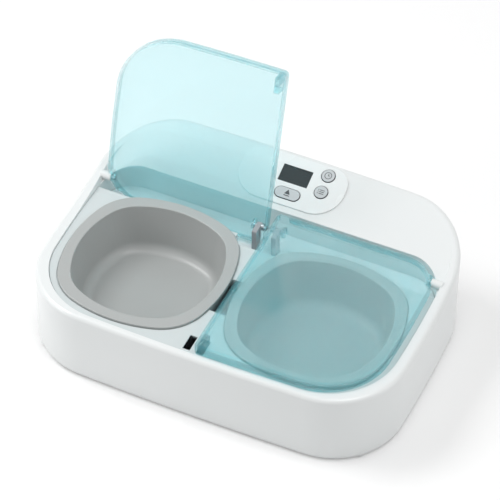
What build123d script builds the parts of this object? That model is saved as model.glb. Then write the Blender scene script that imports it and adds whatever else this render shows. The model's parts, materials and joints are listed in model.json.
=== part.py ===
from build123d import *
import math
import os

# Two-meal automatic pet feeder. Millimetres, +Z up, +X to the object's right as seen from the front,
# +Y to the back. The origin is on the table under the middle of the body.

cut_over = 1.0            # how far a cutting shape reaches past what it cuts
join_over = 0.5           # how far joined shapes reach into each other

# Body
body_width = 340.0
body_depth = 238.0
side_bow = 5.0            # how far each side bulges between its corners
end_bow = 4.0             # the same for the front and the back
body_corner_radius = 65.0
rim_level_end = -15.0     # the rim is level from the front to this y, then climbs in one arc
crest_inset = 12.0        # the climb ends this far from the back, on the sloping face's plane
crest_radius = 22.0       # then the rim turns level over this radius
outer_rim_radius = 4.0
shell_wall = 2.6
rim_wall = 3.0

# Well inside the rim
rim_side_width = 10.5     # from the side of the body to the well
rim_end_width = 6.5       # the same at the front and the back
well_corner_radius = 64.0
well_back_radius = 33.0   # of the deck's back corners, where the sloping face runs on beside them
well_taper = 15.0         # degrees by which the wall above the deck leans outwards
inner_wall = 2.2
slope_run = 49.9          # the sloping back face runs this far to the back of the well
slope_over_deck = 9.6     # height of its front edge over the deck
slope_angle = 20.5

# Deck
deck_height = 73.0
rim_over_deck = 1.5       # height of the rim at the front over the deck
deck_thickness = 2.5
deck_gap = 0.3            # between the deck and the shell around it
trough_reach = 12.0       # the trough reaches this far in front of the hinge pins
trough_notch_depth = 12.0
trough_notch_half_width = 24.0
trough_depth = 16.0
trough_wall = 2.0
finger_well_shift = -3.8  # middle of the finger well, from the bowls' middle
finger_well_length = 49.0
finger_well_half_width = 7.6
finger_well_depth = 12.5
finger_well_wall = 1.4
finger_well_slope = 9.0   # how far the well's back end leans forward towards its floor

# Bowls
bowl_centre_gap = 4.7     # from the middle plane to each bowl's rim
bowl_side_gap = 7.8       # from the bowl's rim to the side of the well
bowl_front_gap = 6.3      # from the bowl's rim to the front of the well
bowl_hinge_gap = 2.7      # from the bowl's rim to the hinge pins' middle
bowl_bow = 15.0
bowl_corner_radius = 45.0
bowl_rim_width = 9.5
bowl_over_deck = 2.0      # height of the bowl's rim over the deck
bowl_rim_thickness = 3.0
bowl_rim_gap = 0.8
bowl_ledge = 5.0          # width of the deck under the bowl's rim
bowl_depth = 45.0
bowl_wall = 2.0
bowl_draft = 10.0
bowl_bottom_radius = 10.0
bowl_rim_edge_radius = 0.8
bowl_lip_radius = 1.0

# Lids
lid_over_deck = 10.5      # height of the closed lid over the deck
lid_plate = 2.2
lid_wall = 2.0
lid_front_gap = 1.3       # between the lid and the front of the well
lid_side_gap = 4.8        # between the lid and the side of the well
lid_centre_gap = 1.0      # from the middle plane to each lid
lid_deck_gap = 0.5
lid_back_gap = 2.1        # from the closed lid to the sloping face
lid_back_corner_radius = 32.0
lid_centre_corner_radius = 4.5
lid_edge_radius = 3.5
lid_inner_edge_radius = 1.8
lid_back_lift = 2.5       # the back of the skirt ends this much higher, to clear the bowl as it turns
lid_back_lift_width = 8.0
lid_open_angle = 104.0

# Hinges
hinge_inset = 17.0        # from the closed lid's back edge to the pins' middle
hinge_over_deck = 4.5
pin_radius = 2.0
pin_clearance = 0.05
lug_radius = 4.2
lug_thickness = 3.0
lug_inset = 1.0           # the innermost lug starts this far inside the lid's edge
thin_lug_thickness = 1.4
post_x = 9.2              # middle of the hinge post
post_thickness = 4.4
post_reach = 11.0         # the post starts this far in front of the pins' middle
post_back_reach = 2.0     # its foot ends this far in front; its round knuckle reaches behind the pin
post_knuckle_radius = 3.3
post_top_gap = 1.1
post_edge_radius = 1.5
post_lug_gap = 1.0
spring_coil_radius = 2.9
spring_wire_radius = 0.35
spring_turns = 3
spring_pitch = 0.8
spring_leg_radius = 0.3
spring_leg_length = 11.0
pivot_boss_radius = 4.0
pivot_boss_length = 8.0
pivot_gap = 0.8
lid_swing_gap = 0.8       # round recess in the shell's back corners, clear of the turning lid
lid_notch_gap = 1.2       # between the pivot boss and the notch in the lid's edge

# Latches
latch_x = 6.2
latch_tab_width = 5.0
latch_tab_inset = 3.9     # from the front of the well to the tab
latch_tab_length = 14.6
latch_tab_depth = 13.2    # below the underside of the lid's plate
latch_slot_gap = 0.8
latch_tab_wall = 1.0
latch_deck_thickness = 1.2
latch_thin_reach = 14.0   # the deck is thin over the bolts as far behind the tab as this
hook_depth = 5.6          # how far the hook's notch reaches forward into the tab
hook_floor = 1.0
bolt_thickness = 1.6
bolt_gap = 0.35
bolt_width = 4.0
bolt_release_gap = 0.8
bolt_web = 2.2
bolt_nose_length = 6.6
lead_screw_radius = 1.5
lead_screw_clearance = 0.08
lead_screw_length = 15.0
motor_axis_depth = 21.0   # from the deck down to the motors' axes
motor_width = 10.0
motor_height = 12.0
gearbox_length = 9.0
motor_can_length = 15.0
motor_front_gap = 12.0    # from the tab to the gearbox
motor_gap = 0.1
bracket_wall = 2.0
bracket_clearance = 0.8
bolt_side_gap = 0.4
bolt_boss_radius = 3.2
guide_depth = 14.5        # the bolts' guide walls reach this far below the deck's top
ear_reach = 3.0           # the ears start this far in front of the tab's back
ear_length = 5.0
ear_width = 8.0
bracket_screw_length = 3.0

# Control panel, measured in the plane of the sloping face
panel_climb = 27.9        # from the front of the sloping face to the panel's own origin
panel_half_width = 49.0
panel_low = -24.0
panel_high = 24.2
panel_end_radius = 25.5
panel_top_corner_radius = 16.0
panel_rise = 1.6          # how far the panel stands out of the sloping face
panel_recess = 1.0        # how deep it sits in it
panel_gap = 0.2
panel_lip = 0.8           # the panel's rim reaches this far over the edge of its recess
panel_edge_radius = 0.7
window_half_width = 41.0
window_low = -19.5
window_high = 22.6
display_x = 1.6
display_v = 5.6
display_width = 27.4
display_height = 16.1
display_recess = 0.15
display_gap = 0.15
display_frame = 1.8       # how far the display module reaches beyond its window
display_seat_gap = 0.1
open_button_x = 1.6
open_button_v = -12.8
open_button_length = 23.0
open_button_height = 10.4
round_button_x = 29.0
upper_button_v = 14.8
lower_button_v = -1.8
round_button_diameter = 11.8
button_gap = 0.6
button_rise = 0.9
button_travel = 1.0
button_flange = 1.0
button_flange_width = 0.8
button_flange_gap = 0.2
button_stem_radius = 1.5
button_stem_length = 0.4
button_edge_radius = 0.5
board_depth = 8.0         # from the sloping face's plane down to the board's top
board_half_width = 40.2
board_low = -18.0
board_high = 19.5
board_thickness = 1.6
switch_size = 6.0
switch_body_height = 3.4
switch_plunger_radius = 1.6
switch_gap = 0.2          # left over the plunger when a button is pressed
panel_boss_radius = 2.4
panel_boss_x = 35.5
panel_boss_low = -14.5
panel_boss_high = 15.5
panel_boss_side_x = 37.5  # the fourth boss stands between the two round buttons
panel_boss_side_v = 6.5
small_screw_radius = 0.9
small_screw_hole = 1.0
small_head_radius = 1.8
small_head_height = 1.2
screw_end_gap = 0.2       # left in a hole beyond its screw's end
board_screw_length = 5.0
chip_size = 10.0
chip_height = 1.2
chip_x = -24.0
chip_v = -9.0
buzzer_radius = 6.0
buzzer_height = 5.0
buzzer_hole_radius = 1.0
buzzer_hole_depth = 1.0
buzzer_x = -26.0
buzzer_v = 7.0

# Bottom cover, feet and screws
base_height = 1.5
base_thickness = 2.5
base_band_inset = 1.2
parting_gap = 0.4
shell_bottom = 5.6
base_lip_height = 4.0
base_lip_wall = 1.8
base_lip_gap = 0.3
lip_boss_gap = 8.0        # the lip stops this far from the shell's screw bosses
foot_radius = 9.0
foot_inset_x = 48.0       # from the sides of the body to the feet's middles
foot_inset_y = 37.0
foot_recess = 0.8
foot_edge_radius = 0.6
base_edge_radius = 1.0
screw_radius = 1.4
screw_hole_radius = 1.5
screw_head_radius = 2.8
screw_head_height = 1.4
screw_head_gap = 0.2
screw_slot_width = 0.8
screw_slot_depth = 0.7
screw_length = 12.0
boss_radius = 4.0
boss_seat_gap = 0.2
rib_thickness = 2.0
rib_reach = 4.0           # the ribs reach this far beyond their bosses
shell_boss_inset = 23.0   # from the sides of the body to the shell's screw bosses
shell_boss_drop = 20.5    # from the deck's underside down to the tops of these bosses
deck_boss_inset_x = 23.5  # from the sides of the well to the deck's screw bosses
deck_boss_inset_y = 22.5
deck_boss_back_gap = 3.5  # the back bosses stand this far behind the hinge pins

# Battery compartment
cell_radius = 7.2
cell_length = 50.5
cell_nub_radius = 2.7
cell_nub_length = 1.0
cell_edge_radius = 0.4
contact_gap = 0.1         # from each cell's end to its contact
cell_gap = 0.6
cell_row_inset = 24.0     # from the back of the body to the middle between the two rows
box_wall = 1.5
box_ledge = 1.0           # how far the bottom cover reaches under the cells
contact_space = 3.0
contact_thickness = 0.5
contact_width = 11.0
door_half_width = 56.0
door_reach = 18.0         # the door starts this far in front of the middle between the rows
door_thickness = 1.5
door_gap = 0.3
door_sink = 0.1           # the door's face lies this far inside the bottom cover's
door_tongue = 1.3
door_tongue_inset = 14.0  # the tongues end this far from the back of the body
door_ridges = 5
door_ridge_pitch = 2.6
door_ridge_inset = 9.0
door_ridge_half = 12.0
door_ridge_depth = 0.5


def slab(face, low, high):
    """A prism on a flat outline between two heights."""
    return extrude(Pos(0, 0, low) * face, amount=high - low)


def bowed_rectangle(half_x, half_y, bow_x, bow_y):
    """A rectangle whose four sides bulge as arcs."""
    cx, cy = half_x - bow_x, half_y - bow_y
    arcs = [
        ThreePointArc((-cx, -cy), (0, -half_y), (cx, -cy)),
        ThreePointArc((cx, -cy), (half_x, 0), (cx, cy)),
        ThreePointArc((cx, cy), (0, half_y), (-cx, cy)),
        ThreePointArc((-cx, cy), (-half_x, 0), (-cx, -cy)),
    ]
    return make_face(arcs)


def bowed_outline(half_x, half_y, bow_x, bow_y, radius):
    """A bowed rectangle with round corners."""
    face = bowed_rectangle(half_x, half_y, bow_x, bow_y)
    return fillet(face.vertices(), radius)


def body_outline(inset=0.0):
    """The body's footprint, drawn in by an even inset."""
    return bowed_outline(body_width / 2 - inset, body_depth / 2 - inset,
                         side_bow, end_bow, body_corner_radius - inset)


def well_outline(inset=0.0):
    """The well's outline at deck height, drawn in by an even inset."""
    return bowed_outline(well_half_width - inset, well_half_depth - inset,
                         side_bow, end_bow, well_corner_radius - inset)


def bowl_outline(inset=0.0):
    """One bowl's outline about its own centre, drawn in by an even inset."""
    return bowed_outline(bowl_half_width - inset, bowl_half_depth - inset,
                         bowl_bow, bowl_bow, bowl_corner_radius - inset)


def side_profile(points, half_width=body_width):
    """A prism along X on a polygon of (y, z) points."""
    wire = Polyline(*points, close=True)
    return extrude(Plane.YZ * make_face(wire), amount=half_width, both=True)


def cylinder_x(radius, x_low, x_high, y, z):
    """A round bar along X."""
    bar = Cylinder(radius, x_high - x_low)
    return Pos((x_low + x_high) / 2, y, z) * Rot(0, 90, 0) * bar


def cylinder_y(radius, y_low, y_high, x, z):
    """A round bar along Y."""
    bar = Cylinder(radius, y_high - y_low)
    return Pos(x, (y_low + y_high) / 2, z) * Rot(90, 0, 0) * bar


def cylinder_z(radius, z_low, z_high, x, y):
    """A round bar along Z."""
    return Pos(x, y, (z_low + z_high) / 2) * Cylinder(radius, z_high - z_low)


def block(x_low, x_high, y_low, y_high, z_low, z_high):
    """A box between two corners."""
    place = Pos((x_low + x_high) / 2, (y_low + y_high) / 2, (z_low + z_high) / 2)
    return place * Box(x_high - x_low, y_high - y_low, z_high - z_low)


def mirrored(shape):
    """The same piece on the other side of the middle plane."""
    return mirror(shape, about=Plane.YZ)


# Derived places
sky = 200.0
slope_rise = math.tan(math.radians(slope_angle))
well_half_width = body_width / 2 - rim_side_width
well_half_depth = body_depth / 2 - rim_end_width
front_rim_height = deck_height + rim_over_deck
crest_y = body_depth / 2 - crest_inset
slope_start = well_half_depth - slope_run
slope_start_height = deck_height + slope_over_deck
lid_back = slope_start - lid_back_gap
hinge_y = lid_back - hinge_inset
hinge_z = deck_height + hinge_over_deck
trough_front = hinge_y - trough_reach
trough_notch_front = trough_front - trough_notch_depth
trough_floor_height = deck_height - trough_depth
bowl_rim_height = deck_height + bowl_over_deck
bowl_half_width = (well_half_width - bowl_side_gap - bowl_centre_gap) / 2
bowl_x = bowl_centre_gap + bowl_half_width
bowl_front = bowl_front_gap - well_half_depth
bowl_back = hinge_y - bowl_hinge_gap
bowl_half_depth = (bowl_back - bowl_front) / 2
bowl_y = (bowl_front + bowl_back) / 2
finger_well_front = bowl_y + finger_well_shift - finger_well_length / 2
finger_well_back = finger_well_front + finger_well_length
finger_well_floor = deck_height - finger_well_depth
lid_top = deck_height + lid_over_deck
post_front = hinge_y - post_reach
post_back = hinge_y - post_back_reach
latch_tab_front = latch_tab_inset - well_half_depth
latch_tab_back = latch_tab_front + latch_tab_length
latch_thin_back = latch_tab_back + latch_thin_reach
motor_axis_height = deck_height - motor_axis_depth
motor_front = latch_tab_back + motor_front_gap
guide_low = deck_height - guide_depth
ear_front = latch_tab_back - ear_reach
panel_y = slope_start + panel_climb
foot_x = body_width / 2 - foot_inset_x
foot_y = body_depth / 2 - foot_inset_y
shell_boss_x = body_width / 2 - shell_boss_inset
shell_boss_y = body_depth / 2 - shell_boss_inset
shell_boss_top = deck_height - deck_thickness - shell_boss_drop
deck_boss_x = well_half_width - deck_boss_inset_x
deck_boss_front = deck_boss_inset_y - well_half_depth
deck_boss_back = hinge_y + deck_boss_back_gap
cell_row_y = body_depth / 2 - cell_row_inset
door_front = cell_row_y - door_reach
deck_under = deck_height - deck_thickness
lid_under = lid_top - lid_plate
lid_bottom = deck_height + lid_deck_gap
bowl_seat = bowl_rim_height - bowl_rim_thickness
bowl_floor = bowl_rim_height - bowl_depth
base_top = base_height + base_thickness
tab_bottom = lid_under - latch_tab_depth
hook_low = tab_bottom + hook_floor
bolt_low = hook_low + bolt_gap
bolt_high = bolt_low + bolt_thickness
hook_high = bolt_high + bolt_gap
deck_boss_foot = base_top + boss_seat_gap


def slope_height(y):
    """Height of the sloping back face at y."""
    return slope_start_height + (y - slope_start) * slope_rise


panel_plane = Plane(
    origin=(0, panel_y, slope_height(panel_y)),
    x_dir=(1, 0, 0),
    z_dir=(0, -math.sin(math.radians(slope_angle)), math.cos(math.radians(slope_angle))),
)


def rim_climb_radius():
    """Radius of the arc by which the rim climbs to the crest."""
    run, rise = crest_y - rim_level_end, slope_height(crest_y) - front_rim_height
    return (run * run + rise * rise) / (2 * rise)


def rim_surface_height(y):
    """Height of the rim at y, up to the crest."""
    if y <= rim_level_end:
        return front_rim_height
    radius = rim_climb_radius()
    return front_rim_height + radius - math.sqrt(radius * radius - (y - rim_level_end) ** 2)


def above_rim(drop=0.0):
    """All the space above the rim, or above a surface that far below it."""
    far = body_depth
    crest = slope_height(crest_y) - drop
    low = front_rim_height - drop
    climb_angle = math.asin((crest_y - rim_level_end) / rim_climb_radius())
    level = Line((-far, low), (rim_level_end, low))
    climb = TangentArc((rim_level_end, low), (crest_y, crest), tangent=(1, 0))
    top_y = crest_y + crest_radius * math.sin(climb_angle)
    top = crest + crest_radius * (1 - math.cos(climb_angle))
    turn = TangentArc((crest_y, crest), (top_y, top),
                      tangent=(math.cos(climb_angle), math.sin(climb_angle)))
    rest = Polyline((top_y, top), (far, top), (far, sky), (-far, sky), (-far, low))
    return extrude(Plane.YZ * make_face([level, climb, turn, rest]), amount=body_width, both=True)


def tray_outline(inset=0.0):
    """The deck's outline: the well cut off at the sloping face, with round back corners."""
    back = slope_start - inset
    square = Pos(0, (back - body_depth) / 2) * Rectangle(body_width, back + body_depth)
    face = bowed_rectangle(well_half_width - inset, well_half_depth - inset, side_bow, end_bow) & square
    front = sorted(face.vertices(), key=lambda v: v.Y)[:2]
    face = fillet(front, well_corner_radius - inset)
    back_ends = sorted(face.vertices(), key=lambda v: v.Y)[-2:]
    return fillet(back_ends, well_back_radius - inset)


def well_space(grow=0.0):
    """The space inside the rim: over the deck, the trough and the sloping face."""
    outline = well_outline(-grow)
    low = slab(outline, trough_floor_height - trough_wall, deck_height)
    high = extrude(Pos(0, 0, deck_height) * outline, amount=sky - deck_height, taper=-well_taper)
    drop = grow / math.cos(math.radians(slope_angle))
    under_slope = side_profile([
        (0, 0), (0, slope_height(0) - drop), (body_depth, slope_height(body_depth) - drop), (body_depth, 0)])
    return low + high - (under_slope - slab(tray_outline(-grow), 0, sky))


def pivot_boss(radius=pivot_boss_radius):
    """Round boss on the left inner wall that carries the lid's outer pin, or its bore."""
    outer_end = -(well_half_width + inner_wall)
    return cylinder_x(radius, outer_end, -(well_half_width - pivot_boss_length), hinge_y, hinge_z)


def wall_top_edges(body):
    """Edges where the outer wall meets the rim."""
    edges = []
    for face in body.faces():
        box = face.bounding_box()
        if box.min.Z < shell_bottom + 0.01 and box.max.Z > deck_height:
            edges += [edge for edge in face.edges() if edge.bounding_box().min.Z > deck_height]
    return edges


def screw_boss(x, y, low, high):
    """Round boss without its hole."""
    return cylinder_z(boss_radius, low, high, x, y)


def pilot_hole(x, y, low):
    """Pilot hole of a boss whose foot is at low."""
    return cylinder_z(screw_hole_radius, low - cut_over, low + screw_length + cut_over, x, y)


def four_corners(x, y):
    """The four places at plus and minus x and y."""
    return [(sx * x, sy * y) for sx in (-1, 1) for sy in (-1, 1)]


def deck_boss_places():
    """Places of the screw bosses: two under the deck, then two under the hinge channel."""
    return [(side * deck_boss_x, y) for y in (deck_boss_front, deck_boss_back) for side in (-1, 1)]


def panel_outline(grow=0.0):
    """The control panel's pill shape in its own plane."""
    low, high, half = panel_low - grow, panel_high + grow, panel_half_width + grow
    face = Pos(0, (low + high) / 2) * Rectangle(2 * half, high - low)
    face = fillet(face.vertices().sort_by(Axis.Y)[:2], panel_end_radius + grow)
    return fillet(face.vertices().sort_by(Axis.Y)[-2:], panel_top_corner_radius + grow)


def on_panel(face, low, high):
    """A prism on a flat outline, between two levels over the sloping face."""
    return panel_plane * slab(face, low, high)


def window_outline():
    """The opening in the sloping face under the control panel."""
    height = window_high - window_low
    opening = Pos(0, (window_high + window_low) / 2) * Rectangle(2 * window_half_width, height)
    return opening & panel_outline(-panel_lip)


def build_outer_shell():
    """White body: outer wall, round rim, inner wall and sloping back face."""
    body = slab(body_outline(), shell_bottom, sky) - above_rim() - well_space()
    body = fillet(wall_top_edges(body), outer_rim_radius)
    inside = slab(body_outline(shell_wall), 0, sky) - above_rim(rim_wall) - well_space(inner_wall)
    body -= inside
    swing = cylinder_x(lid_top - hinge_z + lid_swing_gap, pivot_boss_length - well_half_width,
                       well_back_radius - well_half_width, hinge_y, hinge_z)
    boss, bore = pivot_boss(), pivot_boss(pin_radius + pin_clearance)
    body = body - swing - mirrored(swing) + boss + mirrored(boss) - bore - mirrored(bore)
    for x, y in four_corners(shell_boss_x, shell_boss_y):
        rib = block(-rib_thickness / 2, rib_thickness / 2, 0, boss_radius + rib_reach,
                    shell_bottom, shell_boss_top)
        turn = math.degrees(math.atan2(y, x)) - 90
        post = screw_boss(x, y, shell_bottom, shell_boss_top) + Pos(x, y, 0) * Rot(0, 0, turn) * rib
        body += post & slab(body_outline(shell_wall / 2), 0, sky)
        body -= pilot_hole(x, y, shell_bottom)
    body -= on_panel(window_outline(), -3 * inner_wall, 3 * inner_wall)
    return body - on_panel(panel_outline(panel_gap - panel_lip), -panel_recess, 3 * panel_rise)


def bowl_places():
    """The two bowls' places, left and right."""
    return [Pos(side * bowl_x, bowl_y, 0) for side in (-1, 1)]


def build_deck():
    """Grey tray around the bowls: plate, finger well, latch slots and front screw bosses."""
    wide = body_width
    tray = slab(tray_outline(deck_gap), deck_under, deck_height)
    tray -= block(-wide, wide, trough_front, wide, 0, sky)
    tray -= block(-trough_notch_half_width, trough_notch_half_width, trough_notch_front, wide, 0, sky)
    tray += finger_well_block(finger_well_wall, finger_well_floor - finger_well_wall, deck_height)
    tray -= finger_well_block(0, finger_well_floor, sky)
    for place in bowl_places():
        tray -= place * slab(bowl_outline(-bowl_rim_gap), bowl_seat, sky)
        tray -= place * slab(bowl_outline(bowl_ledge), 0, sky)
    slot_half = latch_tab_width / 2 + latch_slot_gap
    thin_half = latch_x + slot_half + latch_slot_gap
    tray -= block(-thin_half, thin_half, latch_tab_front - 2 * latch_slot_gap, latch_thin_back,
                  0, deck_height - latch_deck_thickness)
    for side in (-1, 1):
        tray -= block(side * latch_x - slot_half, side * latch_x + slot_half,
                      latch_tab_front - latch_slot_gap, latch_tab_back + latch_slot_gap, 0, sky)
        x, y = bracket_screw_place(side)
        hole_top = deck_under - bracket_wall + bracket_screw_length + screw_end_gap
        tray -= cylinder_z(small_screw_hole, 0, hole_top, x, y)
    for x, y in deck_boss_places()[:2]:
        tray += cylinder_z(boss_radius, deck_boss_foot, deck_under + join_over, x, y)
        tray -= pilot_hole(x, y, deck_boss_foot)
    return tray


def build_hinge_channel():
    """Grey channel behind the bowls, into which the open lids' back edges turn."""
    wide = body_width
    low = trough_floor_height - trough_wall
    wall = trough_notch_half_width + trough_wall
    channel = slab(tray_outline(deck_gap), low, deck_under)
    channel -= block(-wide, wide, -wide, trough_front - trough_wall, 0, sky)
    channel += block(-wall, wall, trough_notch_front - trough_wall, trough_front, low, deck_under)
    channel -= block(-wide, wide, trough_front, wide, trough_floor_height, sky)
    channel -= block(-trough_notch_half_width, trough_notch_half_width, trough_notch_front,
                     trough_front, trough_floor_height, sky)
    for place in bowl_places():
        channel -= place * slab(bowl_outline(bowl_ledge), 0, sky)
    for x, y in deck_boss_places()[2:]:
        channel += cylinder_z(boss_radius, deck_boss_foot, low + join_over, x, y)
        channel -= pilot_hole(x, y, deck_boss_foot)
    return channel


def finger_well_block(grow, low, high):
    """The finger well's space, or with grow the block around it; its back end slopes."""
    front, back = finger_well_front - grow, finger_well_back + grow
    half = finger_well_half_width + grow
    lean = finger_well_slope
    outline = side_profile([(front, low), (back - lean, low), (back, high), (front, high)], half)
    return outline


def build_bowl():
    """Grey bowl about its own centre: flat rim, drafted cup, round bottom edge."""
    seat, rim = bowl_seat, bowl_rim_height
    flange = slab(bowl_outline(), seat, rim)
    flange = fillet(flange.faces().sort_by(Axis.Z)[-1].edges(), bowl_rim_edge_radius)
    cup_top = bowl_outline(bowl_rim_width - bowl_wall)
    start = rim - join_over
    cup = extrude(Pos(0, 0, start) * cup_top, amount=bowl_floor - bowl_wall - start, taper=bowl_draft)
    cup = fillet(cup.faces().sort_by(Axis.Z)[0].edges(), bowl_bottom_radius + bowl_wall)
    hollow = extrude(Pos(0, 0, rim) * bowl_outline(bowl_rim_width), amount=-bowl_depth, taper=bowl_draft)
    hollow = fillet(hollow.faces().sort_by(Axis.Z)[0].edges(), bowl_bottom_radius)
    bowl = flange + cup - hollow
    top = bowl.faces().filter_by(Plane.XY).sort_by(Axis.Z)[-1]
    return fillet(top.inner_wires()[0].edges(), bowl_lip_radius)


def lid_outline(inset=0.0):
    """Left lid seen from above: it follows the well, with a straight edge at the middle."""
    near, back = -(lid_centre_gap + inset), lid_back - inset
    side, front = lid_side_gap + inset, lid_front_gap + inset
    well = bowed_rectangle(well_half_width - side, well_half_depth - front, side_bow, end_bow)
    face = well & Pos((near - body_width) / 2, (back - body_width) / 2) * Rectangle(
        body_width + near, body_width + back)
    outer_front = min(face.vertices(), key=lambda v: v.X + v.Y)
    face = fillet([outer_front], well_corner_radius - side)
    outer_back = min(face.vertices(), key=lambda v: v.X - v.Y)
    face = fillet([outer_back], lid_back_corner_radius - inset)
    inner = [v for v in face.vertices() if v.X > near - 0.01]
    return fillet(inner, lid_centre_corner_radius - inset)


def lug(x_low, x_high):
    """Rounded hinge lug hanging from the lid's plate, with its bore."""
    plate = block(x_low, x_high, hinge_y - lug_radius, hinge_y + lug_radius, hinge_z, lid_under + join_over)
    return plate + cylinder_x(lug_radius, x_low, x_high, hinge_y, hinge_z)


def outer_lug_span():
    """The x span of the left lid's outer lug."""
    low = -(well_half_width - pivot_boss_length) + pivot_gap
    return low, low + lug_thickness


def inner_lug_spans():
    """The x spans of the left lid's two lugs beside the hinge post."""
    outer = -(post_x + post_thickness / 2 + post_lug_gap)
    edge = -(lid_centre_gap + lug_inset)
    return (outer - lug_thickness, outer), (edge - thin_lug_thickness, edge)


def build_left_lid():
    """Clear blue tray lid, closed: plate, skirt, hinge lugs and latch tab."""
    lid = slab(lid_outline(), lid_bottom, lid_top)
    lid = fillet(lid.faces().sort_by(Axis.Z)[-1].edges(), lid_edge_radius)
    hollow = slab(lid_outline(lid_wall), lid_bottom - cut_over, lid_under)
    lid -= fillet(hollow.faces().sort_by(Axis.Z)[-1].edges(), lid_inner_edge_radius)
    lid -= block(-body_width, 0, lid_back - lid_back_lift_width, lid_back + cut_over,
                 0, lid_bottom + lid_back_lift)
    for low, high in (outer_lug_span(),) + inner_lug_spans():
        lid += lug(low, high)
    boss_end = -(well_half_width - pivot_boss_length)
    notch = pivot_boss_radius + lid_notch_gap
    lid -= block(-body_width, boss_end + pivot_gap, hinge_y - notch, hinge_y + notch, 0, sky)
    spans = inner_lug_spans()
    lid -= cylinder_x(pin_radius + pin_clearance, -body_width, spans[1][1], hinge_y, hinge_z)
    lid -= block(spans[0][1], spans[1][0], lid_back - lid_wall - lid_inner_edge_radius, lid_back + cut_over,
                 0, lid_under)
    half = latch_tab_width / 2
    tab = block(-latch_x - half, -latch_x + half, latch_tab_front, latch_tab_back, tab_bottom,
                lid_under + join_over)
    hollow_half = half - latch_tab_wall
    tab -= block(-latch_x - hollow_half, -latch_x + hollow_half, latch_tab_front + latch_tab_wall,
                 latch_tab_back - hook_depth - latch_tab_wall, tab_bottom - cut_over, lid_under)
    tab -= block(-latch_x - latch_tab_width, -latch_x + latch_tab_width, latch_tab_back - hook_depth,
                 latch_tab_back + cut_over, hook_low, hook_high)
    return lid + tab


def build_left_post():
    """Hinge post beside the divider: upright foot and a round knuckle about the pin."""
    low, high = -post_x - post_thickness / 2, -post_x + post_thickness / 2
    top = lid_under - post_top_gap
    post = block(low, high, post_front, post_back, trough_floor_height, top)
    post = fillet(post.edges().filter_by(Axis.X).group_by(Axis.Z)[-1].sort_by(Axis.Y)[0], post_edge_radius)
    neck = block(low, high, post_back - join_over, hinge_y, hinge_z - post_knuckle_radius, top)
    knuckle = cylinder_x(post_knuckle_radius, low, high, hinge_y, hinge_z)
    bore = cylinder_x(pin_radius + pin_clearance, low - cut_over, high + cut_over, hinge_y, hinge_z)
    return post + neck + (knuckle & block(low, high, 0, body_depth, 0, top)) - bore


def build_left_spring():
    """Torsion spring beside the left post: turns about the pin, a leg down the post."""
    length = spring_pitch * spring_turns
    helix = Helix(spring_pitch, length, spring_coil_radius, lefthand=True)
    coil = sweep(Plane(origin=helix @ 0, z_dir=helix % 0) * Circle(spring_wire_radius), path=helix)
    leg = cylinder_y(spring_leg_radius, -spring_leg_radius, spring_leg_length, spring_coil_radius, 0)
    start = -post_x + post_thickness / 2 + spring_wire_radius
    return Pos(start, hinge_y, hinge_z) * Rot(0, 90, 0) * Rot(0, 0, -90) * (coil + leg)


def build_left_inner_pin():
    """Steel pin through the lid's two inner lugs and the hinge post."""
    spans = inner_lug_spans()
    return cylinder_x(pin_radius, spans[0][0], spans[1][1], hinge_y, hinge_z)


def build_left_outer_pin():
    """Steel pin from the boss on the shell's wall into the lid's outer lug."""
    return cylinder_x(pin_radius, -(well_half_width + inner_wall), outer_lug_span()[1], hinge_y, hinge_z)


def build_left_bolt():
    """Latch bolt, drawn back: nose, web and the boss on its lead screw."""
    tip = latch_tab_back + bolt_release_gap
    web_front = tip + bolt_nose_length
    half = bolt_width / 2
    nose = block(-latch_x - half, -latch_x + half, tip, web_front + bolt_web, bolt_low, bolt_high)
    web = block(-latch_x - half, -latch_x + half, web_front, web_front + bolt_web,
                motor_axis_height, bolt_high)
    boss = cylinder_y(bolt_boss_radius, web_front, web_front + bolt_web, -latch_x, motor_axis_height)
    bore = cylinder_y(lead_screw_radius + lead_screw_clearance, web_front - cut_over,
                      web_front + bolt_web + cut_over, -latch_x, motor_axis_height)
    return nose + web + boss - bore


def build_left_lead_screw():
    """Lead screw on the motor's shaft, with a bevelled end."""
    end = motor_front - lead_screw_length
    screw = cylinder_y(lead_screw_radius, end, motor_front - motor_gap, -latch_x, motor_axis_height)
    tip = screw.edges().group_by(Axis.Y)[0]
    return chamfer(tip, lead_screw_radius / 4)


def build_left_motor():
    """Small geared motor: square gearbox and flat-sided can."""
    half_x, half_z = motor_width / 2, motor_height / 2
    gearbox = block(-latch_x - half_x, -latch_x + half_x, motor_front, motor_front + gearbox_length,
                    motor_axis_height - half_z, motor_axis_height + half_z)
    end = motor_front + gearbox_length + motor_can_length
    can = cylinder_y(half_z, motor_front + gearbox_length, end, -latch_x, motor_axis_height)
    flat = block(-latch_x - half_x, -latch_x + half_x, motor_front, end, 0, sky)
    return gearbox + (can & flat)


def bracket_inside():
    """Half of the latch bracket's width between its arms."""
    return latch_x + motor_width / 2 + bracket_clearance


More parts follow.
